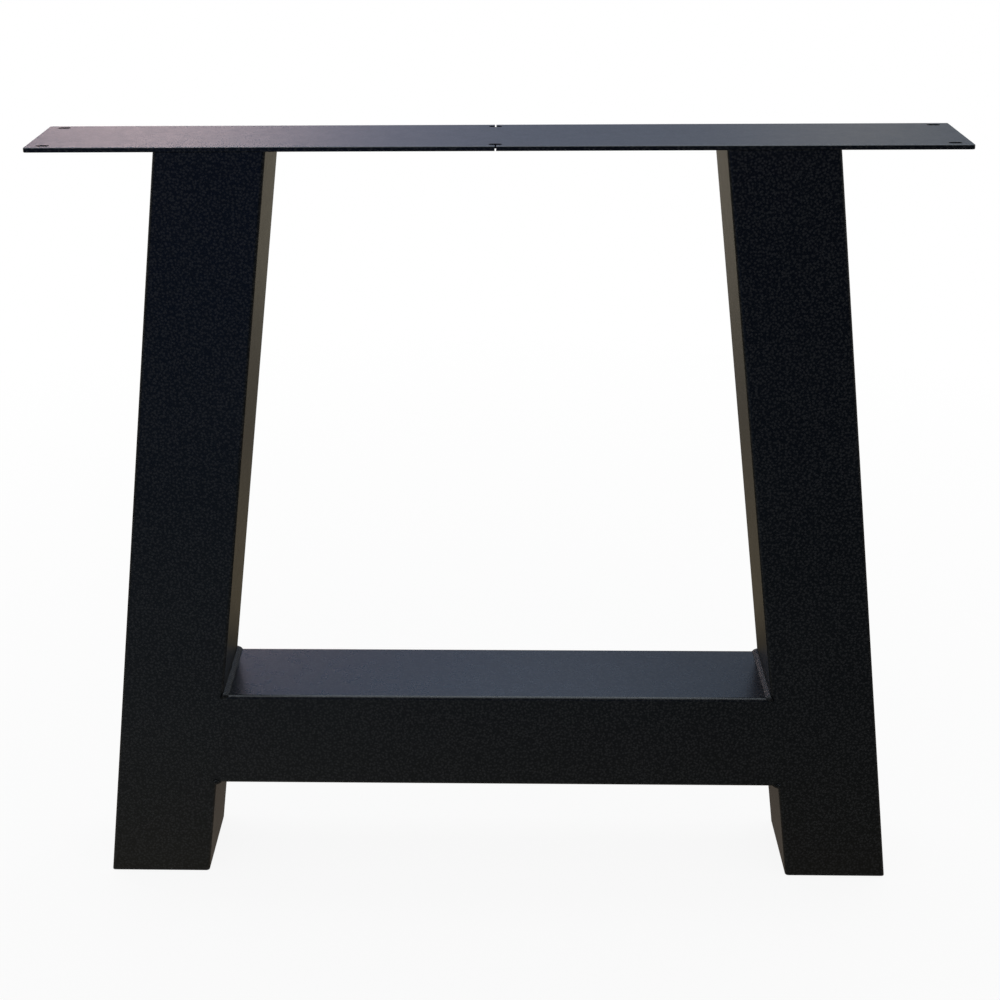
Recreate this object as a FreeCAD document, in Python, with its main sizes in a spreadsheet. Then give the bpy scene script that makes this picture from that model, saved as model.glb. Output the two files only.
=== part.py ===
# Welded A-frame leg for a trestle table, in millimetres.
# Two raked square tubes stand under a slotted top plate and are tied low down by a level
# crossbar of the same tube. +Z is up, +X runs along the plate, and the origin is on the floor
# under the middle of the plate.
import FreeCAD, Part
import math
import os

import Sketcher

# Driving dimensions, in millimetres and degrees
SIZES = {
    # Whole frame
    "overall_height": 680.0,
    "foot_spread": 714.0,
    "rake_angle": 7.0,
    "crossbar_floor_gap": 94.0,
    # Square tube of the legs and the crossbar
    "tube_width": 90.0,
    "tube_wall": 2.0,
    "tube_corner_radius": 3.0,
    # Top plate, as wide as the tube so that its long edges lie flush with the legs
    "plate_length": 756.0,
    "plate_thickness": 4.0,
    "plate_corner_radius": 2.0,
    "plate_edge_radius": 0.8,
    # Screw slots in the plate
    "slot_length": 11.0,
    "slot_width": 5.5,
    "slot_end_inset": 14.0,
    "slot_side_inset": 8.0,
    "slit_width": 1.2,
    # Plates that close the tubes at the floor
    "foot_plate_thickness": 4.0,
    "foot_plate_clearance": 0.2,
    # Fillet welds between crossbar and legs
    "crossbar_weld_leg": 6.0,
    "crossbar_weld_face_radius": 9.0,
    # Fillet welds between legs and plate, short of the plate's long edges
    "plate_weld_leg": 4.0,
    "plate_weld_face_radius": 7.0,
    "plate_weld_setback": 22.0,
}

# Formulas shared by several pieces
TUBE = "Sizes.tube_width"
CORNER = "Sizes.tube_corner_radius"
RAKE = "Sizes.rake_angle"
RISE = f"tan({RAKE})"
LEG_HEIGHT = "(Sizes.overall_height - Sizes.plate_thickness)"
TUBE_LEVEL_WIDTH = f"({TUBE} / cos({RAKE}))"
CROSSBAR_BOTTOM = "Sizes.crossbar_floor_gap"
CROSSBAR_MIDDLE = f"({CROSSBAR_BOTTOM} + {TUBE} / 2)"
CROSSBAR_TOP = f"({CROSSBAR_BOTTOM} + {TUBE})"
TUBE_FLAT = f"({TUBE} - 2 * {CORNER})"

# Sketcher's numbers for the origin and for the points of a line or an arc
ORIGIN = -1
START = 1
END = 2
CENTRE = 3

AXIS_X = FreeCAD.Vector(1, 0, 0)
AXIS_Y = FreeCAD.Vector(0, 1, 0)


def left_outer_face(height):
    """Formula for the X of the left leg's outer face at a height."""
    return f"({height} * {RISE} - Sizes.foot_spread / 2)"


def left_axis(height):
    """Formula for the X of the left leg's axis at a height."""
    return f"({left_outer_face(height)} + {TUBE_LEVEL_WIDTH} / 2)"


def left_inner_face(height):
    """Formula for the X of the left leg's inner face at a height."""
    return f"({left_outer_face(height)} + {TUBE_LEVEL_WIDTH})"


def number(owner, formula):
    """The present value of a formula."""
    result = owner.evalExpression(formula)
    return float(getattr(result, "Value", result))


def add_sheet(doc):
    """The spreadsheet of driving dimensions, one named cell for each."""
    sheet = doc.addObject("Spreadsheet::Sheet", "Sizes")
    for row, (alias, value) in enumerate(SIZES.items(), start=1):
        sheet.set(f"A{row}", alias)
        sheet.set(f"B{row}", str(value))
        sheet.setAlias(f"B{row}", alias)
    doc.recompute()


# Outlines: corners as pairs of formulas, anticlockwise, and the arcs that replace some sides,
# each with its centre and whether it bulges outwards


def rounded_rectangle(width, depth, radius):
    """A centred rectangle with rounded corners."""
    far_x, far_y = f"({width} / 2)", f"({depth} / 2)"
    near_x, near_y = f"({far_x} - {radius})", f"({far_y} - {radius})"
    corners = [
        (f"-{near_x}", f"-{far_y}"),
        (near_x, f"-{far_y}"),
        (far_x, f"-{near_y}"),
        (far_x, near_y),
        (near_x, far_y),
        (f"-{near_x}", far_y),
        (f"-{far_x}", near_y),
        (f"-{far_x}", f"-{near_y}"),
    ]
    arcs = {
        1: ((near_x, f"-{near_y}"), True),
        3: ((near_x, near_y), True),
        5: ((f"-{near_x}", near_y), True),
        7: ((f"-{near_x}", f"-{near_y}"), True),
    }
    return corners, arcs


def round_ended_slot(x, y, length, width):
    """A slot along X with round ends, centred on a point."""
    reach, half = f"(({length} - {width}) / 2)", f"({width} / 2)"
    left, right = f"({x} - {reach})", f"({x} + {reach})"
    low, high = f"({y} - {half})", f"({y} + {half})"
    corners = [(left, low), (right, low), (right, high), (left, high)]
    arcs = {1: ((right, y), True), 3: ((left, y), True)}
    return corners, arcs


def hollow_faced_wedge(leg, opening, face_radius):
    """A fillet weld's section: root at the origin, one side along X, a hollow face."""
    half = f"({opening} / 2)"
    reach = f"({leg} * cos({half}) + sqrt({face_radius}^2 - ({leg} * sin({half}))^2))"
    corners = [("0", "0"), (leg, "0"), (f"{leg} * cos({opening})", f"{leg} * sin({opening})")]
    arcs = {1: ((f"{reach} * cos({half})", f"{reach} * sin({half})"), False)}
    return corners, arcs


def corner_groove(radius):
    """What lies between a tube's rounded corner and the two flats carried on to a sharp edge."""
    corners = [("0", "0"), ("0", radius), (f"-{radius}", "0")]
    arcs = {1: ((f"-{radius}", radius), False)}
    return corners, arcs


def draw_side(sketch, start, end, arc):
    """Add one side of an outline and return its number and its points at start and end."""
    if arc is None:
        return sketch.addGeometry(Part.LineSegment(start, end)), START, END
    centre, bulges = arc
    middle = FreeCAD.Vector(number(sketch, centre[0]), number(sketch, centre[1]), 0)
    first, last = (start, end) if bulges else (end, start)
    angles = [math.atan2(point.y - middle.y, point.x - middle.x) for point in (first, last)]
    circle = Part.Circle(middle, FreeCAD.Vector(0, 0, 1), (first - middle).Length)
    side = sketch.addGeometry(Part.ArcOfCircle(circle, *angles))
    return (side, START, END) if bulges else (side, END, START)


def bind_distance(sketch, kind, side, point, formula):
    """Hold a point's distance from the origin to a formula."""
    place = number(sketch, formula)
    index = sketch.addConstraint(Sketcher.Constraint(kind, ORIGIN, START, side, point, place))
    sketch.setExpression(f"Constraints[{index}]", formula)


def draw_outline(sketch, corners, arcs):
    """Add a closed outline whose corners and arc centres follow their formulas."""
    places = [FreeCAD.Vector(number(sketch, x), number(sketch, y), 0) for x, y in corners]
    sides = []
    for index, start in enumerate(places):
        end = places[(index + 1) % len(places)]
        sides.append(draw_side(sketch, start, end, arcs.get(index)))
    for index, (side, start_point, end_point) in enumerate(sides):
        next_side, next_start, _ = sides[(index + 1) % len(sides)]
        sketch.addConstraint(Sketcher.Constraint("Coincident", side, end_point, next_side, next_start))
        bind_distance(sketch, "DistanceX", side, start_point, corners[index][0])
        bind_distance(sketch, "DistanceY", side, start_point, corners[index][1])
        if index in arcs:
            bind_distance(sketch, "DistanceX", side, CENTRE, arcs[index][0][0])


# Features of a body


def add_body(doc, label, x="0", z="0", turn="0", turn_axis=AXIS_Y):
    """An empty body placed by formulas and turned about an axis along Y."""
    body = doc.addObject("PartDesign::Body", label)
    body.Label = label
    body.Placement = FreeCAD.Placement(FreeCAD.Vector(), FreeCAD.Rotation(turn_axis, 1))
    body.setExpression("Placement.Base.x", x)
    body.setExpression("Placement.Base.z", z)
    body.setExpression("Placement.Rotation.Angle", turn)
    return body


def origin_feature(body, role):
    """One of the body's own base planes or axes."""
    return next(feature for feature in body.Origin.OriginFeatures if feature.Role == role)


def add_sketch(body, name, role, outlines):
    """A sketch on one of the body's base planes."""
    sketch = body.newObject("Sketcher::SketchObject", f"{body.Label}_{name}")
    sketch.AttachmentSupport = [(origin_feature(body, role), "")]
    sketch.MapMode = "FlatFace"
    for corners, arcs in outlines:
        draw_outline(sketch, corners, arcs)
    return sketch


def pad(body, sketch, length):
    """Thicken a sketch to both sides of its plane."""
    feature = body.newObject("PartDesign::Pad", f"{body.Label}_pad")
    feature.Profile = sketch
    feature.SideType = "Symmetric"
    feature.setExpression("Length", length)
    body.Document.recompute()
    return feature


def cut_through(body, sketch, name):
    """Cut a sketch through the whole body, to both sides of its plane."""
    feature = body.newObject("PartDesign::Pocket", f"{body.Label}_{name}")
    feature.Profile = sketch
    feature.SideType = "Symmetric"
    feature.Type = "ThroughAll"
    body.Document.recompute()
    return feature


def repeat_by_half_turn(body, feature, axis_role):
    """Repeat a cut on the far side of an axis."""
    pattern = body.newObject("PartDesign::PolarPattern", f"{body.Label}_half_turn")
    pattern.Originals = [feature]
    pattern.Axis = (origin_feature(body, axis_role), [""])
    pattern.Angle = 360
    pattern.Occurrences = 2
    body.Tip = pattern


def repeat_by_mirror(body, features, plane_role, name):
    """Repeat cuts on the far side of a base plane."""
    mirror = body.newObject("PartDesign::Mirrored", f"{body.Label}_{name}")
    mirror.Originals = features
    mirror.MirrorPlane = (origin_feature(body, plane_role), [""])
    body.Tip = mirror


def mirror_piece(doc, label, source, normal):
    """A piece's mirror image, as a piece of its own."""
    piece = doc.addObject("Part::Mirroring", label)
    piece.Label = label
    piece.Source = source
    piece.Normal = normal
    return piece


# Pieces


def tube_section():
    """Outer and inner outline of the square tube."""
    bore = f"({TUBE} - 2 * Sizes.tube_wall)"
    bore_corner = f"({CORNER} - Sizes.tube_wall)"
    return [rounded_rectangle(TUBE, TUBE, CORNER), rounded_rectangle(bore, bore, bore_corner)]


def foot_plate_section():
    """The tube's bore, less the clearance that the foot plate needs to go in."""
    size = f"({TUBE} - 2 * Sizes.tube_wall - 2 * Sizes.foot_plate_clearance)"
    corner = f"({CORNER} - Sizes.tube_wall - Sizes.foot_plate_clearance)"
    return [rounded_rectangle(size, size, corner)]


def raked_piece(doc, label, section, height):
    """A length of section along the left leg's axis, cut level at the floor and at a height."""
    middle = f"({height} / 2)"
    body = add_body(doc, label, left_axis(middle), middle, RAKE)
    pad(body, add_sketch(body, "section", "XY_Plane", section), f"{height} / cos({RAKE}) + {TUBE}")
    half = f"({height} / 2 / cos({RAKE}))"
    slope = f"{TUBE} * {RISE}"
    below = f"-{half} - 2 * {TUBE}"
    corners = [
        (f"-{TUBE}", below),
        (TUBE, below),
        (TUBE, f"-{half} + {slope}"),
        (f"-{TUBE}", f"-{half} - {slope}"),
    ]
    floor_cut = cut_through(body, add_sketch(body, "floor", "XZ_Plane", [(corners, {})]), "floor_cut")
    repeat_by_half_turn(body, floor_cut, "Y_Axis")
    return body


def crossbar(doc):
    """The level tube between the legs, mitred to their inner faces."""
    body = add_body(doc, "crossbar", z=CROSSBAR_MIDDLE)
    pad(body, add_sketch(body, "section", "YZ_Plane", tube_section()), "Sizes.foot_spread")
    end = left_inner_face(CROSSBAR_MIDDLE)
    slope = f"{TUBE} * {RISE}"
    beyond = "-Sizes.foot_spread"
    corners = [
        (beyond, f"-{TUBE}"),
        (f"{end} - {slope}", f"-{TUBE}"),
        (f"{end} + {slope}", TUBE),
        (beyond, TUBE),
    ]
    mitre = cut_through(body, add_sketch(body, "end", "XZ_Plane", [(corners, {})]), "mitre")
    repeat_by_mirror(body, [mitre], "YZ_Plane", "far_mitre")
    return body


def top_plate(doc):
    """The plate under the table top, with its screw slots."""
    body = add_body(doc, "top_plate", z="Sizes.overall_height - Sizes.plate_thickness / 2")
    blank_outline = rounded_rectangle("Sizes.plate_length", TUBE, "Sizes.plate_corner_radius")
    blank = pad(body, add_sketch(body, "blank", "XY_Plane", [blank_outline]), "Sizes.plate_thickness")
    soften_plate_edges(body, blank)

    slot_size = ("Sizes.slot_length", "Sizes.slot_width")
    slot_x = "(Sizes.plate_length / 2 - Sizes.slot_end_inset)"
    slot_y = f"({TUBE} / 2 - Sizes.slot_side_inset)"
    corner_slot = round_ended_slot(slot_x, slot_y, *slot_size)
    corner_cut = cut_through(body, add_sketch(body, "corner_slot", "XY_Plane", [corner_slot]), "corner_cut")
    repeat_at_four_corners(body, corner_cut)

    mid_slot = round_ended_slot("0", slot_y, *slot_size)
    mid_cut = cut_through(body, add_sketch(body, "mid_slot", "XY_Plane", [mid_slot]), "mid_cut")
    half_slit = "(Sizes.slit_width / 2)"
    corners = [(f"-{half_slit}", slot_y), (half_slit, slot_y), (half_slit, TUBE), (f"-{half_slit}", TUBE)]
    slit_cut = cut_through(body, add_sketch(body, "slit", "XY_Plane", [(corners, {})]), "slit_cut")
    repeat_by_mirror(body, [mid_cut, slit_cut], "XZ_Plane", "far_mid_slot")
    return body


def soften_plate_edges(body, blank):
    """Round the edges all round the plate's top and underside."""
    flats = [
        f"Face{index}"
        for index, face in enumerate(blank.Shape.Faces, start=1)
        if abs(face.normalAt(0, 0).z) > abs(face.normalAt(0, 0).x) + abs(face.normalAt(0, 0).y)
    ]
    fillet = body.newObject("PartDesign::Fillet", "top_plate_edges")
    fillet.Base = (blank, flats)
    fillet.setExpression("Radius", "Sizes.plate_edge_radius")
    body.Document.recompute()


def repeat_at_four_corners(body, feature):
    """Repeat a cut at all four corners of the plate."""
    pattern = body.newObject("PartDesign::MultiTransform", "top_plate_corners")
    pattern.Originals = [feature]
    mirrors = []
    for role in ("YZ_Plane", "XZ_Plane"):
        mirror = body.newObject("PartDesign::Mirrored", f"top_plate_across_{role[:2].lower()}")
        mirror.MirrorPlane = (origin_feature(body, role), [""])
        mirrors.append(mirror)
    pattern.Transformations = mirrors
    body.Tip = pattern
    body.Document.recompute()


def fillet_weld(doc, label, root, turn, opening, size, length):
    """A hollow-faced fillet weld along Y, its root at an (x, z) and its first side turned up from X."""
    body = add_body(doc, label, *root, turn=turn, turn_axis=-AXIS_Y)
    leg, face_radius = f"Sizes.{size}_leg", f"Sizes.{size}_face_radius"
    section = hollow_faced_wedge(leg, opening, face_radius)
    pad(body, add_sketch(body, "section", "XZ_Plane", [section]), length)
    return body


def front_seam_weld(doc):
    """The weld, ground flush, that fills the left leg's rounded corner beside the crossbar's front."""
    label = "left_crossbar_front_seam"
    body = add_body(doc, label, left_inner_face(CROSSBAR_MIDDLE), CROSSBAR_MIDDLE, RAKE)
    body.setExpression("Placement.Base.y", f"-{TUBE} / 2")
    section = add_sketch(body, "section", "XY_Plane", [corner_groove(CORNER)])
    pad(body, section, f"{TUBE_FLAT} / cos({RAKE})")
    return body


def left_fillet_welds(doc):
    """The left leg's fillet welds to the crossbar and to the plate."""
    acute, obtuse = f"(90 - {RAKE})", f"(90 + {RAKE})"
    plate_weld_length = f"{TUBE} - 2 * Sizes.plate_weld_setback"
    crossbar_top_root = (left_inner_face(CROSSBAR_TOP), CROSSBAR_TOP)
    crossbar_bottom_root = (left_inner_face(CROSSBAR_BOTTOM), CROSSBAR_BOTTOM)
    plate_outer_root = (left_outer_face(LEG_HEIGHT), LEG_HEIGHT)
    plate_inner_root = (left_inner_face(LEG_HEIGHT), LEG_HEIGHT)
    welds = [
        ("crossbar_top", crossbar_top_root, "0", acute, "crossbar_weld", TUBE_FLAT),
        ("crossbar_bottom", crossbar_bottom_root, f"-{obtuse}", obtuse, "crossbar_weld", TUBE_FLAT),
        ("plate_outer", plate_outer_root, "180", acute, "plate_weld", plate_weld_length),
        ("plate_inner", plate_inner_root, f"-{obtuse}", obtuse, "plate_weld", plate_weld_length),
    ]
    return [fillet_weld(doc, f"left_{name}_weld", *details) for name, *details in welds]


def build(doc):
    """Every piece of the frame."""
    left_front_seam = front_seam_weld(doc)
    left_pieces = [
        raked_piece(doc, "left_leg", tube_section(), LEG_HEIGHT),
        raked_piece(doc, "left_foot_plate", foot_plate_section(), "Sizes.foot_plate_thickness"),
        left_front_seam,
        mirror_piece(doc, "left_crossbar_back_seam", left_front_seam, AXIS_Y),
        *left_fillet_welds(doc),
    ]
    right_pieces = [
        mirror_piece(doc, piece.Label.replace("left", "right"), piece, AXIS_X) for piece in left_pieces
    ]
    pieces = [top_plate(doc), crossbar(doc), *left_pieces, *right_pieces]
    doc.recompute()
    return pieces


def check(doc, pieces):
    """Stop if a feature failed, a cut missed, or a piece isn't one sound solid."""
    for item in doc.Objects:
        if "Invalid" in item.State or "Error" in item.State:
            raise RuntimeError(f"{item.Label} failed: {item.State}")
        if item.TypeId == "PartDesign::Pocket" and item.Shape.Volume >= item.BaseFeature.Shape.Volume:
            raise RuntimeError(f"{item.Label} cuts nothing")
    for piece in pieces:
        if piece.Shape.isNull() or not piece.Shape.isValid() or len(piece.Shape.Solids) != 1:
            raise RuntimeError(f"{piece.Label} isn't one sound solid")


def export(pieces):
    """Write each piece to its own file."""
    os.makedirs("parts", exist_ok=True)
    for piece in pieces:
        piece.Shape.exportStep(f"parts/{piece.Label}.step")
        print(f"{piece.Label}: {piece.Shape.Volume:.0f} mm3")


def main():
    """Build, check and write the frame."""
    doc = FreeCAD.newDocument("trestle_leg")
    add_sheet(doc)
    pieces = build(doc)
    check(doc, pieces)
    export(pieces)


main()
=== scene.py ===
"""Looks of a welded A-frame trestle leg in black, fine-textured powder coat, built on its CAD frame."""

import logging
import math
from dataclasses import dataclass
from enum import Enum
from typing import Any

import bmesh
import bpy
from mathutils import Matrix, Vector, noise

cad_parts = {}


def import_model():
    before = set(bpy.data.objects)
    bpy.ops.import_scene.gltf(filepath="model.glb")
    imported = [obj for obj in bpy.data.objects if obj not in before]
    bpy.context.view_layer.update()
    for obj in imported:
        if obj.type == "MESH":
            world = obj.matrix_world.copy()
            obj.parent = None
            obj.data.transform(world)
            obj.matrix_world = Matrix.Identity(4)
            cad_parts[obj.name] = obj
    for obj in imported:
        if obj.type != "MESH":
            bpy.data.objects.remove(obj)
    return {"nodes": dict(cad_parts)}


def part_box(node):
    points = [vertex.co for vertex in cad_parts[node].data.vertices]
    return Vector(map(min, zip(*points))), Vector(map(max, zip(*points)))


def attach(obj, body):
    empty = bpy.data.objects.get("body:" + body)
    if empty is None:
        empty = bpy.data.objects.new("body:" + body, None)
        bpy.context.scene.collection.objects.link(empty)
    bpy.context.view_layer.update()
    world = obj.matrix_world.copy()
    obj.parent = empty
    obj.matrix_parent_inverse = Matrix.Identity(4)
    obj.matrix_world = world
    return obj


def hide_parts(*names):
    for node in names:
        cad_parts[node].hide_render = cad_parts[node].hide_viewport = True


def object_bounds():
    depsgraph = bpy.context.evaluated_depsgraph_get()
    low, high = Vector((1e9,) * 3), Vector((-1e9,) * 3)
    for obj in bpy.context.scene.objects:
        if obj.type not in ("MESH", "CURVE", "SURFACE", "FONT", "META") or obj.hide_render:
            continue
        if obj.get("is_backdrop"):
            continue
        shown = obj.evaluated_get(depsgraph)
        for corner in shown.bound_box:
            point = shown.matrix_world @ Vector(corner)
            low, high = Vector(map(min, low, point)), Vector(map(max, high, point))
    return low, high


MM = 0.001
# How far the legs lean from the upright, as in the CAD source
RAKE = math.radians(7)
BODY = "root"
LOG = logging.getLogger("trestle_leg")

# Numbers of the Mix node's colour sockets, whose names it uses more than once
MIX_FIRST = 6
MIX_SECOND = 7
MIX_RESULT = 2

Colour = tuple[float, float, float]
Stops = tuple[tuple[float, Colour], ...]


class Side(Enum):
    """The side of the frame, by the sign of its X."""

    LEFT = -1
    RIGHT = 1

    @property
    def prefix(self) -> str:
        """The start of the names of this side's nodes."""
        return self.name.lower() + "_"


class Axis(Enum):
    """The direction in which a card's tone runs."""

    X = "X"
    Y = "Y"


class ShaderGraph:
    """A node tree with short calls to add and join its nodes."""

    def __init__(self, tree: bpy.types.NodeTree) -> None:
        """Start from an empty tree.

        Args:
            tree: The node tree of a material or of the world.
        """
        self.tree = tree
        self.tree.nodes.clear()

    @classmethod
    def of_material(cls, name: str) -> tuple[bpy.types.Material, "ShaderGraph"]:
        """Make an empty material.

        Args:
            name: The material's name.

        Returns:
            The material and its graph.
        """
        made = bpy.data.materials.new(name)
        made.use_nodes = True
        return made, cls(made.node_tree)

    def add(self, kind: str, inputs: dict[Any, Any] | None = None, **settings: Any) -> bpy.types.Node:
        """Add a node.

        Args:
            kind: The node's type name.
            inputs: Values for its sockets by name or number, or output sockets to join to them.
            settings: Values for its own properties.

        Returns:
            The new node.
        """
        node = self.tree.nodes.new(kind)
        for name, value in settings.items():
            setattr(node, name, value)
        for name, value in (inputs or {}).items():
            if isinstance(value, bpy.types.NodeSocket):
                self.tree.links.new(value, node.inputs[name])
            else:
                node.inputs[name].default_value = value
        return node

    def math(self, operation: str, first: Any, second: Any) -> bpy.types.NodeSocket:
        """Combine two numbers or sockets.

        Args:
            operation: The Math node's operation.
            first: The first number or socket.
            second: The second number or socket.

        Returns:
            The result's socket.
        """
        return self.add("ShaderNodeMath", {0: first, 1: second}, operation=operation).outputs[0]

    def noise(self, where: bpy.types.NodeSocket, size: float, layers: int) -> bpy.types.NodeSocket:
        """Noise with features of a real size.

        Args:
            where: The coordinates, in metres.
            size: The size of a feature, in metres.
            layers: How many finer layers it holds.

        Returns:
            The noise's socket, from 0 to 1.
        """
        node = self.add("ShaderNodeTexNoise", {"Vector": where, "Scale": 1 / size, "Detail": layers})
        return node.outputs["Fac"]

    def surface(self, shader: bpy.types.NodeSocket) -> None:
        """Join a shader to a material's output."""
        self.add("ShaderNodeOutputMaterial", {"Surface": shader})


@dataclass(frozen=True)
class PowderCoat:
    """Baked black powder coat: a coarse grain of tone and relief, a finer grain and slow drifts of tone.

    The coarse grain mixes pebbles with noise. A pebble falls from its core to its rim, both given as
    shares of the pebbles' spacing.
    """

    name: str
    deep: Colour = (0.0002, 0.0002, 0.0003)
    pale: Colour = (0.0118, 0.0120, 0.0122)
    pebble: float = 2.3 * MM
    pebble_core: float = 0.05
    pebble_rim: float = 0.75
    pebble_share: float = 0.35
    grain: float = 1.8 * MM
    grain_layers: int = 3
    grain_low: float = 0.37
    grain_high: float = 0.63
    grain_height: float = 0.050 * MM
    drift: float = 70 * MM
    drift_layers: int = 3
    drift_share: float = 0.25
    fine_grain: float = 0.6 * MM
    fine_layers: int = 2
    fine_height: float = 0.006 * MM
    gloss_low: float = 0.40
    gloss_high: float = 0.47
    gloss_patch: float = 9 * MM
    gloss_layers: int = 2
    sheen_level: float = 0.20

    def coarse_grain(self, graph: ShaderGraph, where: bpy.types.NodeSocket) -> bpy.types.NodeSocket:
        """Mix soft pebbles with noise.

        Args:
            graph: The material's graph.
            where: The coordinates, in metres.

        Returns:
            The grain's socket, near 1 on its tops and near 0 between them.
        """
        cells = graph.add("ShaderNodeTexVoronoi", {"Vector": where, "Scale": 1 / self.pebble}, feature="F1")
        fall = {
            "Value": cells.outputs["Distance"],
            "From Min": self.pebble_core,
            "From Max": self.pebble_rim,
            "To Min": 1.0,
            "To Max": 0.0,
        }
        pebbles = graph.add("ShaderNodeMapRange", fall, interpolation_type="SMOOTHSTEP").outputs["Result"]
        mottle = graph.noise(where, self.grain, self.grain_layers)
        return graph.math(
            "ADD",
            graph.math("MULTIPLY", pebbles, self.pebble_share),
            graph.math("MULTIPLY", mottle, 1 - self.pebble_share),
        )

    def tone(
        self, graph: ShaderGraph, where: bpy.types.NodeSocket, grain: bpy.types.NodeSocket
    ) -> bpy.types.NodeSocket:
        """Colour the coat by its grain and a slow drift.

        Args:
            graph: The material's graph.
            where: The coordinates, in metres.
            grain: The coarse grain.

        Returns:
            The colour's socket.
        """
        limits = {"Value": grain, "From Min": self.grain_low, "From Max": self.grain_high}
        speck = graph.add("ShaderNodeMapRange", limits).outputs["Result"]
        waves = graph.noise(where, self.drift, self.drift_layers)
        drift = graph.math("MULTIPLY", graph.math("SUBTRACT", waves, 0.5), self.drift_share)
        mix = {
            "Factor": graph.math("ADD", speck, drift),
            MIX_FIRST: (*self.deep, 1),
            MIX_SECOND: (*self.pale, 1),
        }
        return graph.add("ShaderNodeMix", mix, data_type="RGBA", clamp_factor=True).outputs[MIX_RESULT]

    def roughness(self, graph: ShaderGraph, where: bpy.types.NodeSocket) -> bpy.types.NodeSocket:
        """Vary how rough the coat is, in patches.

        Args:
            graph: The material's graph.
            where: The coordinates, in metres.

        Returns:
            The roughness's socket.
        """
        patches = graph.noise(where, self.gloss_patch, self.gloss_layers)
        spread = {"Value": patches, "To Min": self.gloss_low, "To Max": self.gloss_high}
        return graph.add("ShaderNodeMapRange", spread).outputs["Result"]

    def relief(
        self, graph: ShaderGraph, where: bpy.types.NodeSocket, grain: bpy.types.NodeSocket
    ) -> bpy.types.NodeSocket:
        """Raise the coat by its coarse and its fine grain.

        Args:
            graph: The material's graph.
            where: The coordinates, in metres.
            grain: The coarse grain.

        Returns:
            The normal's socket.
        """
        coarse = graph.math("MULTIPLY", grain, self.grain_height)
        fine = graph.math("MULTIPLY", graph.noise(where, self.fine_grain, self.fine_layers), self.fine_height)
        height = {"Height": graph.math("ADD", coarse, fine), "Distance": 1.0}
        return graph.add("ShaderNodeBump", height).outputs["Normal"]

    def material(self) -> bpy.types.Material:
        """Build the material.

        Returns:
            The powder coat's material.
        """
        made, graph = ShaderGraph.of_material(self.name)
        where = graph.add("ShaderNodeTexCoord").outputs["Object"]
        grain = self.coarse_grain(graph, where)
        coat = graph.add(
            "ShaderNodeBsdfPrincipled",
            {
                "Base Color": self.tone(graph, where, grain),
                "Roughness": self.roughness(graph, where),
                "Specular IOR Level": self.sheen_level,
                "Normal": self.relief(graph, where, grain),
            },
        )
        graph.surface(coat.outputs["BSDF"])
        return made


@dataclass(frozen=True)
class LevelCoat(PowderCoat):
    """Powder coat that flowed out smoother on faces that look up.

    How far a face looks up is the Z of its normal. The coat gets smoother from the start to the full value.
    """

    level_start: float = 0.6
    level_full: float = 0.9
    level_drop: float = 0.155

    def roughness(self, graph: ShaderGraph, where: bpy.types.NodeSocket) -> bpy.types.NodeSocket:
        """Vary how rough the coat is, in patches, with less of it on faces that look up.

        Args:
            graph: The material's graph.
            where: The coordinates, in metres.

        Returns:
            The roughness's socket.
        """
        normal = graph.add("ShaderNodeTexCoord").outputs["Normal"]
        span = {
            "Value": graph.add("ShaderNodeSeparateXYZ", {0: normal}).outputs["Z"],
            "From Min": self.level_start,
            "From Max": self.level_full,
            "To Min": 0.0,
            "To Max": self.level_drop,
        }
        drop = graph.add("ShaderNodeMapRange", span).outputs["Result"]
        return graph.math("SUBTRACT", super().roughness(graph, where), drop)


@dataclass(frozen=True)
class LegLines:
    """Where the left leg's faces run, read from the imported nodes."""

    rake: float
    bar_end: float
    bar_bottom: float
    bar_top: float
    leg_top: float
    tube: float

    @classmethod
    def read(cls, rake: float) -> "LegLines":
        """Read the lines from the crossbar and the left leg.

        Args:
            rake: How far the legs lean from the upright.

        Returns:
            The left leg's lines.
        """
        bar_low, bar_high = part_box("crossbar")
        leg_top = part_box("left_leg")[1].z
        return cls(rake, bar_low.x, bar_low.z, bar_high.z, leg_top, bar_high.z - bar_low.z)

    def inner(self, height: float) -> float:
        """The X of the left leg's inner face at a height."""
        return self.bar_end + (height - self.bar_bottom) * math.tan(self.rake)

    def outer(self, height: float) -> float:
        """The X of the left leg's outer face at a height."""
        return self.inner(height) - self.tube / math.cos(self.rake)


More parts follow.
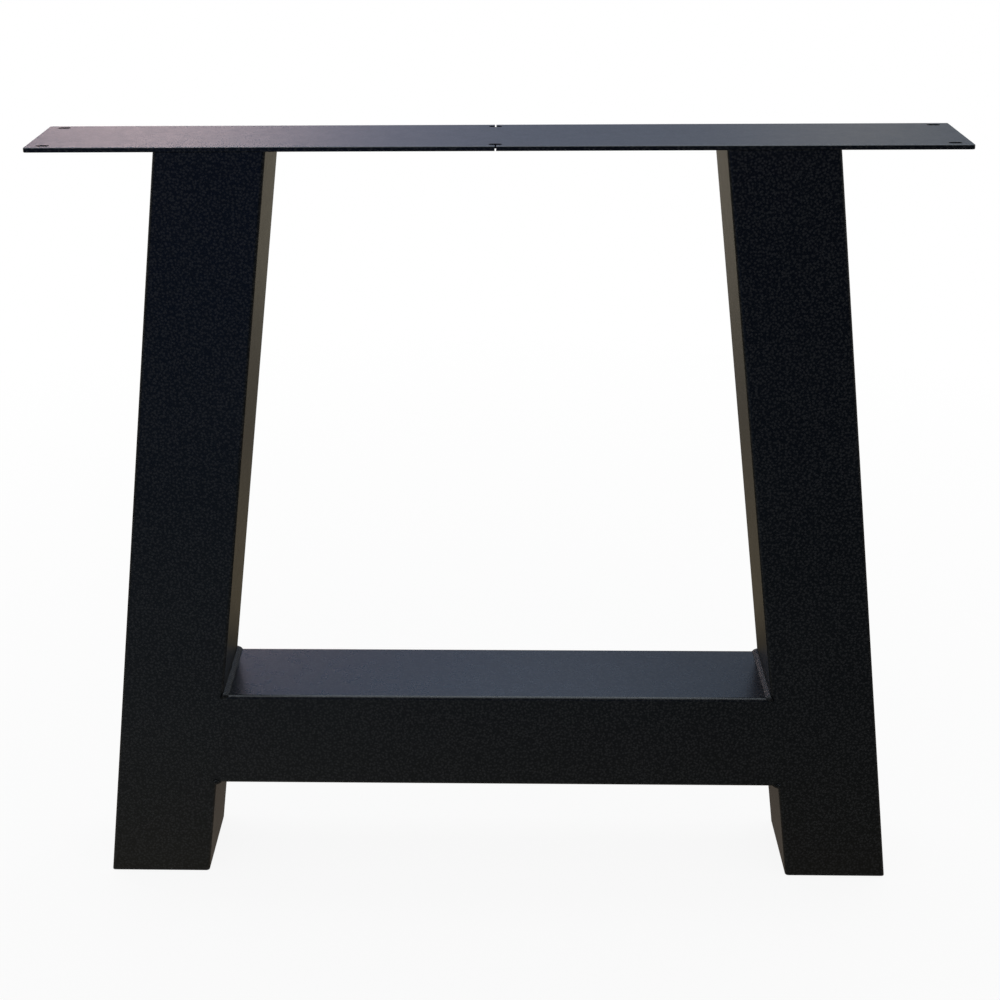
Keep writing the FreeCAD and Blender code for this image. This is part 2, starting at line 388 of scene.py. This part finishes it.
@dataclass
class WeldBead:
    """One fillet weld with its ripples, laid in a corner of the left side and mirrored for the right.

    In its own space the bead runs along Y, with the corner's first face along X and Z off that face.
    Its ends bend round the tube's rounded corner by the wrap angle, or taper in place if that is 0.
    """

    node: str
    piece: str
    side: Side
    corner: Vector
    first: Vector
    off_first: Vector
    opening: float
    first_leg: float
    second_leg: float
    half_run: float
    phase: float
    crown: float = 0.35 * MM
    sink: float = 0.4 * MM
    face_points: int = 12
    bow: float = 1.1 * MM
    ripple_pitch: float = 3.1 * MM
    ripple: float = 0.055
    wander: float = 0.09
    wander_length: float = 11 * MM
    wander_row: float = 0.5
    step: float = 0.62 * MM
    wrap_radius: float = 0.0
    wrap_angle: float = math.radians(78)
    wrap_steps: int = 8
    wrap_slip: float = 2.2 * MM
    end_width: float = 0.9
    end_height: float = 0.3

    @property
    def steps(self) -> int:
        """How many steps half of the run takes."""
        return round(self.half_run / self.step)

    def place(self) -> Matrix:
        """Where the bead's own space lies in the frame.

        Returns:
            The matrix from the bead's space to the left side of the frame.
        """
        turn = Matrix((self.first, self.off_first.cross(self.first), self.off_first)).transposed()
        return Matrix.Translation(self.corner) @ turn.to_4x4()

    def outline(self, work: bmesh.types.BMesh) -> list[bmesh.types.BMEdge]:
        """Draw the bead's outline across its run: the root and the crowned face, bowed along the run.

        Args:
            work: The mesh to draw in.

        Returns:
            The outline's edges.
        """
        toe = Vector((self.first_leg, 0, 0))
        far_toe = Vector((math.cos(self.opening), 0, math.sin(self.opening))) * self.second_leg
        outward = Vector((math.cos(self.opening / 2), 0, math.sin(self.opening / 2)))
        points = [outward * -self.sink]
        for index in range(self.face_points + 1):
            share = index / self.face_points
            rise = math.sin(math.pi * share)
            point = toe.lerp(far_toe, share) + outward * (self.crown * rise)
            points.append(point + Vector((0, self.bow * rise, 0)))
        corners = [work.verts.new(point) for point in points]
        return [work.edges.new((a, b)) for a, b in zip(corners, corners[1:] + corners[:1])]

    def swell(self, run: float) -> float:
        """How thick the bead is at a place along its run.

        Args:
            run: The place along the run.

        Returns:
            The thickness, where 1 is the plain bead.
        """
        wave = self.ripple * math.cos(2 * math.pi * run / self.ripple_pitch + self.phase)
        spot = Vector((run / self.wander_length, self.phase, self.wander_row))
        return 1 + wave + self.wander * noise.noise(spot)

    def push(
        self, work: bmesh.types.BMesh, ring: list[bmesh.types.BMEdge]
    ) -> tuple[list[bmesh.types.BMVert], list[bmesh.types.BMEdge]]:
        """Extrude a ring in place.

        Args:
            work: The bead's mesh.
            ring: The ring's edges.

        Returns:
            The new ring's vertices and edges.
        """
        made = bmesh.ops.extrude_edge_only(work, edges=ring)["geom"]
        corners = [part for part in made if isinstance(part, bmesh.types.BMVert)]
        fresh = set(corners)
        edges = [
            part for part in made if isinstance(part, bmesh.types.BMEdge) and fresh.issuperset(part.verts)
        ]
        return corners, edges

    def lay_half(
        self, work: bmesh.types.BMesh, ring: list[bmesh.types.BMEdge], way: int
    ) -> list[bmesh.types.BMEdge]:
        """Lay the bead from the middle to one end of its run.

        Args:
            work: The bead's mesh.
            ring: The outline's edges in the middle.
            way: 1 towards the run's end, -1 towards its start.

        Returns:
            The last ring's edges.
        """
        thick = self.swell(0)
        for index in range(1, self.steps + 1):
            run = way * index * self.step
            corners, ring = self.push(work, ring)
            bmesh.ops.translate(work, vec=(0, way * self.step, 0), verts=corners)
            ratio = self.swell(run) / thick
            root_space = Matrix.Translation((0, -run, 0))
            bmesh.ops.scale(work, vec=(ratio, 1, ratio), space=root_space, verts=corners)
            thick *= ratio
        return ring

    def close_end(self, work: bmesh.types.BMesh, ring: list[bmesh.types.BMEdge], way: int) -> None:
        """Bend the bead's end round the tube's corner, narrow it to a tongue and close it.

        Args:
            work: The bead's mesh.
            ring: The run's last ring.
            way: 1 at the run's end, -1 at its start.
        """
        root = Vector((0, way * self.steps * self.step, 0))
        pivot = root - Vector((0, 0, self.wrap_radius))
        turn = Matrix.Rotation(-way * self.wrap_angle / self.wrap_steps, 3, "X")
        turned = Matrix.Identity(3)
        thick = self.swell(root.y)
        width, height = thick, thick
        share = 0.0
        for index in range(1, self.wrap_steps + 1):
            before, share = share, index / self.wrap_steps
            corners, ring = self.push(work, ring)
            slip = Vector((-self.wrap_slip * (share**2 - before**2), 0, 0))
            bmesh.ops.rotate(work, cent=pivot, matrix=turn, verts=corners)
            bmesh.ops.translate(work, vec=slip, verts=corners)
            root = pivot + turn @ (root - pivot) + slip
            pivot += slip
            turned = turn @ turned
            # The tongue falls away as a quarter circle does, slowly at first
            drop = 1 - math.sqrt(1 - share**2)
            new_width = 1 - (1 - self.end_width) * drop
            new_height = 1 - (1 - self.end_height) * drop
            ring_space = (Matrix.Translation(root) @ turned.to_4x4()).inverted()
            ratio = (new_width / width, 1, new_height / height)
            bmesh.ops.scale(work, vec=ratio, space=ring_space, verts=corners)
            width, height = new_width, new_height
        bmesh.ops.contextual_create(work, geom=ring)

    def build(self, coat: bpy.types.Material) -> bpy.types.Object:
        """Build the bead in the place of its CAD node.

        Args:
            coat: The bead's finish.

        Returns:
            The bead's object.
        """
        work = bmesh.new()
        middle = self.outline(work)
        for way in (1, -1):
            self.close_end(work, self.lay_half(work, middle, way), way)
        bmesh.ops.transform(work, matrix=self.place(), verts=work.verts)
        if self.side is Side.RIGHT:
            bmesh.ops.scale(work, vec=(-1, 1, 1), verts=work.verts)
        bmesh.ops.recalc_face_normals(work, faces=work.faces)
        mesh = bpy.data.meshes.new(self.piece)
        work.to_mesh(mesh)
        work.free()
        mesh.shade_smooth()
        mesh.materials.append(coat)
        bead = bpy.data.objects.new(self.piece, mesh)
        bpy.context.scene.collection.objects.link(bead)
        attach(bead, BODY)
        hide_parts(self.node)
        LOG.info("laid %s", self.piece)
        return bead


@dataclass
class Welds:
    """The fillet welds of one side: two along the crossbar and two under the top plate."""

    side: Side
    lines: LegLines
    bar_leg: float = 5.0 * MM
    bar_rise: float = 2.8 * MM
    bar_half_run: float = 42 * MM
    tube_corner: float = 3 * MM
    plate_leg: float = 3.9 * MM
    plate_half_run: float = 21.5 * MM
    plate_end_width: float = 0.3
    phase_step: float = 1.7

    def beads(self) -> list[WeldBead]:
        """Lay out the side's beads.

        Returns:
            The beads, not yet built.
        """
        lines = self.lines
        across = Vector((1, 0, 0))
        up = Vector((0, 0, 1))
        sharp = math.pi / 2 - lines.rake
        blunt = math.pi / 2 + lines.rake
        bar = {
            "first_leg": self.bar_leg,
            "second_leg": self.bar_rise,
            "half_run": self.bar_half_run,
            "wrap_radius": self.tube_corner,
        }
        plate = {
            "first_leg": self.plate_leg,
            "second_leg": self.plate_leg,
            "half_run": self.plate_half_run,
            "wrap_slip": 0.0,
            "wrap_angle": 0.0,
            "end_width": self.plate_end_width,
        }
        layout = [
            ("crossbar_top", lines.inner(lines.bar_top), lines.bar_top, across, up, sharp, bar),
            ("crossbar_bottom", lines.inner(lines.bar_bottom), lines.bar_bottom, across, -up, blunt, bar),
            ("plate_inner", lines.inner(lines.leg_top), lines.leg_top, across, -up, blunt, plate),
            ("plate_outer", lines.outer(lines.leg_top), lines.leg_top, -across, -up, sharp, plate),
        ]
        made = []
        for index, (name, x, z, first, off_first, opening, sizes) in enumerate(layout):
            made.append(
                WeldBead(
                    node=self.side.prefix + name + "_weld",
                    piece=self.side.prefix + name + "_bead",
                    side=self.side,
                    corner=Vector((x, 0, z)),
                    first=first,
                    off_first=off_first,
                    opening=opening,
                    phase=self.phase_step * self.side.value + index,
                    **sizes,
                )
            )
        return made

    def build(self, coat: bpy.types.Material) -> None:
        """Build the side's beads.

        Args:
            coat: Their finish.
        """
        for bead in self.beads():
            bead.build(coat)


@dataclass
class Steelwork:
    """The plate, tubes, foot plates and ground seams, which keep their CAD shapes.

    The special finishes are given by the ending of the names of the nodes that take them.
    """

    nodes: dict[str, bpy.types.Object]
    special: dict[str, bpy.types.Material]

    def dress(self, coat: bpy.types.Material) -> None:
        """Give every CAD node its finish.

        Args:
            coat: The finish of the nodes that have no special one.
        """
        for name, node in self.nodes.items():
            finish = next((made for ending, made in self.special.items() if name.endswith(ending)), coat)
            node.data.materials.clear()
            node.data.materials.append(finish)
            LOG.info("dressed %s", name)


@dataclass
class PhotoCamera:
    """The camera that took the photograph, as fitted to the frame's edges."""

    place: Vector = Vector((0.0054975, -1.3831967, 0.9564244))
    pitch: float = math.radians(19.4549)
    yaw: float = math.radians(1.7364)
    roll: float = math.radians(-0.5541)
    focal_pixels: float = 1707.2967
    centre_offset: tuple[float, float] = (-46.6395, -120.0)
    image_pixels: float = 1000.0

    def build(self) -> bpy.types.Object:
        """Add the camera to the scene and make it the active one.

        Returns:
            The camera's object.
        """
        data = bpy.data.cameras.new("photo_camera")
        data.lens = self.focal_pixels * data.sensor_width / self.image_pixels
        data.shift_x = -self.centre_offset[0] / self.image_pixels
        data.shift_y = self.centre_offset[1] / self.image_pixels
        camera = bpy.data.objects.new("photo_camera", data)
        turn = Matrix.Rotation(self.yaw, 4, "Z") @ Matrix.Rotation(math.pi / 2 - self.pitch, 4, "X")
        camera.matrix_world = Matrix.Translation(self.place) @ turn @ Matrix.Rotation(self.roll, 4, "Z")
        bpy.context.scene.collection.objects.link(camera)
        bpy.context.scene.camera = camera
        return camera


@dataclass
class Softbox:
    """The soft lamp over the object."""

    name: str = "top_softbox"
    place: Vector = Vector((0, 0.45, 2.4))
    aim: Vector = Vector((0, 0, 0.4))
    width: float = 2.4
    height: float = 0.9
    radiance: float = 2.0
    colour: Colour = (0.95, 0.97, 1.0)

    def build(self) -> bpy.types.Object:
        """Add the lamp to the scene.

        Returns:
            The lamp's object.
        """
        data = bpy.data.lights.new(self.name, "AREA")
        data.shape = "RECTANGLE"
        data.size = self.width
        data.size_y = self.height
        data.energy = self.radiance * math.pi * self.width * self.height
        data.color = self.colour
        lamp = bpy.data.objects.new(self.name, data)
        lamp.location = self.place
        lamp.rotation_euler = (self.aim - self.place).to_track_quat("-Z", "Y").to_euler()
        lamp.visible_camera = False
        bpy.context.scene.collection.objects.link(lamp)
        return lamp


@dataclass(frozen=True)
class Fade:
    """How a card's light falls to both sides of a centre along X.

    All of it is left within the start's distance of the centre, and a share of it beyond the end's.
    """

    centre: float
    start: float
    end: float
    share: float


@dataclass
class Card:
    """A large card that glows, though it is no lamp, and that only the object's gloss sees: it paints
    reflections into the coat, with a tone that runs along one axis.
    """

    name: str
    width: float
    depth: float
    place: Matrix
    along: Axis
    tones: Stops
    strength: float = 1.0
    fade: Fade | None = None

    def light(self, graph: ShaderGraph, across: bpy.types.NodeSocket) -> Any:
        """How strong the card's light is, with its fade if it has one.

        Args:
            graph: The graph of the card's material.
            across: The X coordinate, in metres.

        Returns:
            The strength, as a number or a socket.
        """
        if self.fade is None:
            return self.strength
        aside = graph.math("ABSOLUTE", graph.math("SUBTRACT", across, self.fade.centre), 0.0)
        span = {
            "Value": aside,
            "From Min": self.fade.start,
            "From Max": self.fade.end,
            "To Min": self.strength,
            "To Max": self.strength * self.fade.share,
        }
        return graph.add("ShaderNodeMapRange", span).outputs["Result"]

    def material(self) -> bpy.types.Material:
        """Build the card's glow, a painted reflection, from its tones.

        Returns:
            The card's material.
        """
        made, graph = ShaderGraph.of_material(self.name)
        where = graph.add("ShaderNodeSeparateXYZ", {0: graph.add("ShaderNodeTexCoord").outputs["Object"]})
        start = self.tones[0][0]
        length = self.tones[-1][0] - start
        span = {"Value": where.outputs[self.along.value], "From Min": start, "From Max": start + length}
        share = graph.add("ShaderNodeMapRange", span).outputs["Result"]
        ramp = graph.add("ShaderNodeValToRGB", {"Fac": share})
        stops = ramp.color_ramp.elements
        stops[0].color = (*self.tones[0][1], 1)
        stops[1].color = (*self.tones[-1][1], 1)
        for spot, tone in self.tones[1:-1]:
            stops.new((spot - start) / length).color = (*tone, 1)
        strength = self.light(graph, where.outputs["X"])
        # Painted reflection: an emission that only the object's gloss sees.
        glow = graph.add("ShaderNodeEmission", {"Color": ramp.outputs["Color"], "Strength": strength})
        graph.surface(glow.outputs[0])
        return made


@dataclass(frozen=True)
class Band:
    """One level of a wall of glowing cards, painted reflections seen only in the object's gloss: how high it
    reaches, its tones along X and their strength.
    """

    name: str
    top: float
    tones: Stops
    strength: float = 1.0


# Painted reflections before the object: the low blue stretch on the left tints the front faces blue, and the
# upper card, paler on the left than on the right, makes them lighter on the left.
FRONT_BANDS = (
    Band(
        "front_card",
        0.5,
        (
            (-1.3, (0.05, 0.06, 0.09)),
            (-0.9, (0.03, 0.20, 0.95)),
            (-0.5, (0.03, 0.20, 0.95)),
            (0.5, (0.0, 0.025, 0.12)),
        ),
    ),
    Band("front_upper_card", 2.6, ((-0.5, (0.11, 0.12, 0.15)), (0.5, (0.02, 0.025, 0.04)))),
)

# Painted reflections behind the object, warm near the floor and bluish higher up; the sky card paints the
# bluish top of the crossbar.
BACK_BANDS = (
    Band("skirting_card", 0.45, ((-1.0, (0.60, 0.55, 0.45)), (1.0, (0.60, 0.55, 0.45)))),
    # Painted highlights: the bright rosy stretch on the left, at eight times the strength, brightens the top
    # plate's left end in its gloss, and the warm stretch on the right its right end.
    Band(
        "rose_card",
        1.55,
        (
            (-1.80, (0.06, 0.06, 0.08)),
            (-1.50, (0.985, 0.715, 0.695)),
            (-1.05, (1.00, 0.75, 0.735)),
            (-0.45, (0.185, 0.155, 0.20)),
            (0.05, (0.020, 0.014, 0.026)),
            (0.68, (0.040, 0.037, 0.050)),
            (1.15, (0.225, 0.20, 0.165)),
            (1.60, (0.028, 0.026, 0.022)),
        ),
        8.0,
    ),
    Band(
        "haze_card",
        2.2,
        ((-1.0, (0.08, 0.12, 0.24)), (0.0, (0.18, 0.13, 0.20)), (1.0, (0.18, 0.14, 0.16))),
    ),
    Band(
        "sky_card",
        5.0,
        ((-0.9, (0.11, 0.25, 0.46)), (0.1, (0.57, 0.72, 0.98)), (0.9, (0.24, 0.34, 0.49))),
        2.9,
    ),
)


@dataclass
class FloorCards:
    """The two glowing cards on the floor, one before the object and one under and behind it, toned along Y,
    that only the object's gloss sees: painted reflections.

    The middle tones before the object are placed by their distance from its front face.
    """

    width: float
    front: float
    front_wall: float
    back_wall: float
    lift: float = 1 * MM
    before_far: Colour = (0.12, 0.30, 0.88)
    before_middle: Stops = ((0.95, (0.16, 0.27, 0.41)), (0.35, (0.40, 0.48, 0.54)))
    before_near: Colour = (0.56, 0.54, 0.46)
    # Painted reflection: the front card's light fades away from a centre left of the middle, so the front
    # faces are lighter on the left than on the right.
    before_fade: Fade = Fade(centre=-0.4, start=0.1, end=1.1, share=0.3)
    behind_near: Colour = (0.32, 0.27, 0.22)
    # Painted shade: the dark band just behind the object, reflected in the legs' inner faces, darkens them
    # over the crossbar.
    behind_middle: Stops = (
        (0.12, (0.30, 0.25, 0.20)),
        (0.17, (0.03, 0.03, 0.025)),
        (0.34, (0.03, 0.03, 0.025)),
        (0.44, (0.38, 0.31, 0.20)),
        (1.1, (0.24, 0.21, 0.16)),
        (1.9, (0.55, 0.49, 0.37)),
    )
    behind_far: Colour = (0.62, 0.56, 0.44)

    def lay(self, name: str, start: float, end: float, tones: Stops, fade: Fade | None = None) -> Card:
        """Lay one card on the floor.

        Args:
            name: Its name.
            start: The Y at which it starts.
            end: The Y at which it ends.
            tones: Its tones along Y.
            fade: How its light falls along X, if it does.

        Returns:
            The card.
        """
        place = Matrix.Translation((0, (start + end) / 2, self.lift))
        return Card(name, self.width, end - start, place, Axis.Y, tones, fade=fade)

    def cards(self) -> list[Card]:
        """Lay both cards.

        Returns:
            The cards, not yet hung.
        """
        middle = [(self.front - distance, tone) for distance, tone in self.before_middle]
        before = ((self.front_wall, self.before_far), *middle, (self.front, self.before_near))
        behind = ((self.front, self.behind_near), *self.behind_middle, (self.back_wall, self.behind_far))
        return [
            self.lay("front_floor_card", self.front_wall, self.front, before, self.before_fade),
            self.lay("back_floor_card", self.front, self.back_wall, behind),
        ]


@dataclass
class Studio:
    """White studio: a pale floor that runs into a white surround, a soft lamp, and glowing cards that only
    the gloss sees, which paint reflections into the coat.
    """

    ambient: float = 0.62
    floor_reach: float = 8.0
    floor_glow: float = 0.9
    white_near: float = 0.5
    white_far: float = 1.6
    floor_tone: float = 0.92
    card_reach: float = 8.0
    front_distance: float = 2.2
    back_distance: float = 4.0
    ceiling_height: float = 2.6
    ceiling_middle: float = 0.2
    ceiling_depth: float = 2.6
    ceiling_tone: Colour = (0.80, 0.90, 1.00)
    ceiling_strength: float = 7.0

    def white_rays(self, graph: ShaderGraph) -> bpy.types.NodeSocket:
        """Say where the surround is plain white: seen straight, in gloss and through glass.

        Args:
            graph: The graph of the world or of the floor.

        Returns:
            A socket that is 1 for such rays and 0 for others.
        """
        path = graph.add("ShaderNodeLightPath").outputs
        shiny = graph.math("MAXIMUM", path["Is Glossy Ray"], path["Is Transmission Ray"])
        return graph.math("MAXIMUM", path["Is Camera Ray"], shiny)

    def light_world(self) -> None:
        """Make the surround white to look at, and a soft even light on the object."""
        world = bpy.data.worlds.new("white_surround")
        world.use_nodes = True
        bpy.context.scene.world = world
        graph = ShaderGraph(world.node_tree)
        light = graph.add("ShaderNodeBackground", {"Color": (1, 1, 1, 1), "Strength": self.ambient})
        white = graph.add("ShaderNodeBackground", {"Color": (1, 1, 1, 1), "Strength": 1.0})
        choice = {0: self.white_rays(graph), 1: light.outputs[0], 2: white.outputs[0]}
        mix = graph.add("ShaderNodeMixShader", choice)
        graph.add("ShaderNodeOutputWorld", {"Surface": mix.outputs[0]})

    def floor_material(self) -> bpy.types.Material:
        """White paper: it takes the object's shadow, and brightens to plain white away from it, as its glow's
        share rises with distance: a painted shade that leaves the floor a little darker near the object.

        Returns:
            The floor's material.
        """
        made, graph = ShaderGraph.of_material("studio_paper")
        paper = graph.add("ShaderNodeBsdfDiffuse", {"Color": (self.floor_tone,) * 3 + (1,)})
        glow = graph.add("ShaderNodeEmission", {"Color": (1, 1, 1, 1), "Strength": 1.0})
        where = graph.add("ShaderNodeTexCoord").outputs["Object"]
        distance = graph.add("ShaderNodeVectorMath", {0: where}, operation="LENGTH").outputs["Value"]
        rise = {
            # Painted shade: the glow's share is lower near the object, so the floor is a little darker round
            # it besides its shadow.
            "Value": distance,
            "From Min": self.white_near,
            "From Max": self.white_far,
            "To Min": self.floor_glow,
            "To Max": 1.0,
        }
        whiteness = graph.add("ShaderNodeMapRange", rise).outputs["Result"]
        share = graph.math("MULTIPLY", self.white_rays(graph), whiteness)
        mix = graph.add("ShaderNodeMixShader", {0: share, 1: paper.outputs[0], 2: glow.outputs[0]})
        graph.surface(mix.outputs[0])
        return made

    def sheet(
        self, name: str, width: float, depth: float, place: Matrix, finish: bpy.types.Material
    ) -> bpy.types.Object:
        """Lay a flat stage piece.

        Args:
            name: Its name.
            width: Its size along X before it is placed.
            depth: Its size along Y before it is placed.
            place: Where it goes.
            finish: Its material.

        Returns:
            The stage piece's object.
        """
        work = bmesh.new()
        bmesh.ops.create_grid(work, x_segments=1, y_segments=1, size=0.5)
        bmesh.ops.scale(work, vec=(width, depth, 1), verts=work.verts)
        bmesh.ops.transform(work, matrix=place, verts=work.verts)
        mesh = bpy.data.meshes.new(name)
        work.to_mesh(mesh)
        work.free()
        mesh.materials.append(finish)
        piece = bpy.data.objects.new(name, mesh)
        bpy.context.scene.collection.objects.link(piece)
        piece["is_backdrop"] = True
        return piece

    def wall_cards(self, y: float, bands: tuple[Band, ...]) -> list[Card]:
        """Stack a wall of cards from the floor up.

        Args:
            y: Where the wall stands.
            bands: Its levels, from the lowest up.

        Returns:
            The cards, not yet hung.
        """
        standing = Matrix.Rotation(math.pi / 2, 4, "X")
        made = []
        low = 0.0
        for band in bands:
            place = Matrix.Translation((0, y, (low + band.top) / 2)) @ standing
            card = Card(band.name, self.card_reach, band.top - low, place, Axis.X, band.tones, band.strength)
            made.append(card)
            low = band.top
        return made

    def ceiling_card(self) -> Card:
        """The bright glowing card over the object, seen only in its gloss: it paints the highlights along the
        tubes' rounded top edges.

        Returns:
            The card, not yet hung.
        """
        place = Matrix.Translation((0, self.ceiling_middle, self.ceiling_height))
        tones = ((-1.0, self.ceiling_tone), (1.0, self.ceiling_tone))
        size = (self.card_reach, self.ceiling_depth)
        return Card("ceiling_card", *size, place, Axis.X, tones, self.ceiling_strength)

    def hang_cards(self, front: float) -> None:
        """Hang the cards, out of sight of the camera and of the soft light.

        Args:
            front: The Y of the object's front face.
        """
        front_wall = front - self.front_distance
        cards = [
            *self.wall_cards(front_wall, FRONT_BANDS),
            *FloorCards(self.card_reach, front, front_wall, self.back_distance).cards(),
            *self.wall_cards(self.back_distance, BACK_BANDS),
            self.ceiling_card(),
        ]
        for card in cards:
            hung = self.sheet(card.name, card.width, card.depth, card.place, card.material())
            # The cards glow only in the object's gloss, as painted reflections; they cast no shadow and light
            # nothing.
            hung.visible_camera = False
            hung.visible_diffuse = False
            hung.visible_shadow = False

    def build(self, low: Vector) -> None:
        """Build the studio round the object.

        Args:
            low: The lowest corner of the object's box.
        """
        self.light_world()
        self.sheet("studio_floor", self.floor_reach, self.floor_reach, Matrix(), self.floor_material())
        self.hang_cards(low.y)
        Softbox().build()
        bpy.context.scene.view_settings.view_transform = "Standard"


def main() -> None:
    """Load the frame, dress it, lay the welds, and set up the studio and the camera."""
    logging.basicConfig(level=logging.INFO)
    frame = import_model()
    cad_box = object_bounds()
    coat = PowderCoat("black_powder_coat").material()
    bar_coat = LevelCoat("bar_powder_coat", grain_height=0.035 * MM).material()
    seam_coat = PowderCoat(
        "seam_powder_coat", grain_height=0.035 * MM, gloss_low=0.39, gloss_high=0.46
    ).material()
    weld_coat = PowderCoat(
        "weld_powder_coat", grain_height=0.025 * MM, gloss_low=0.50, gloss_high=0.58, sheen_level=0.13
    ).material()
    Steelwork(frame["nodes"], {"_seam": seam_coat, "crossbar": bar_coat}).dress(coat)
    lines = LegLines.read(RAKE)
    for side in Side:
        Welds(side, lines).build(weld_coat)
    Studio().build(cad_box[0])
    PhotoCamera().build()


if __name__ == "__main__":
    main()
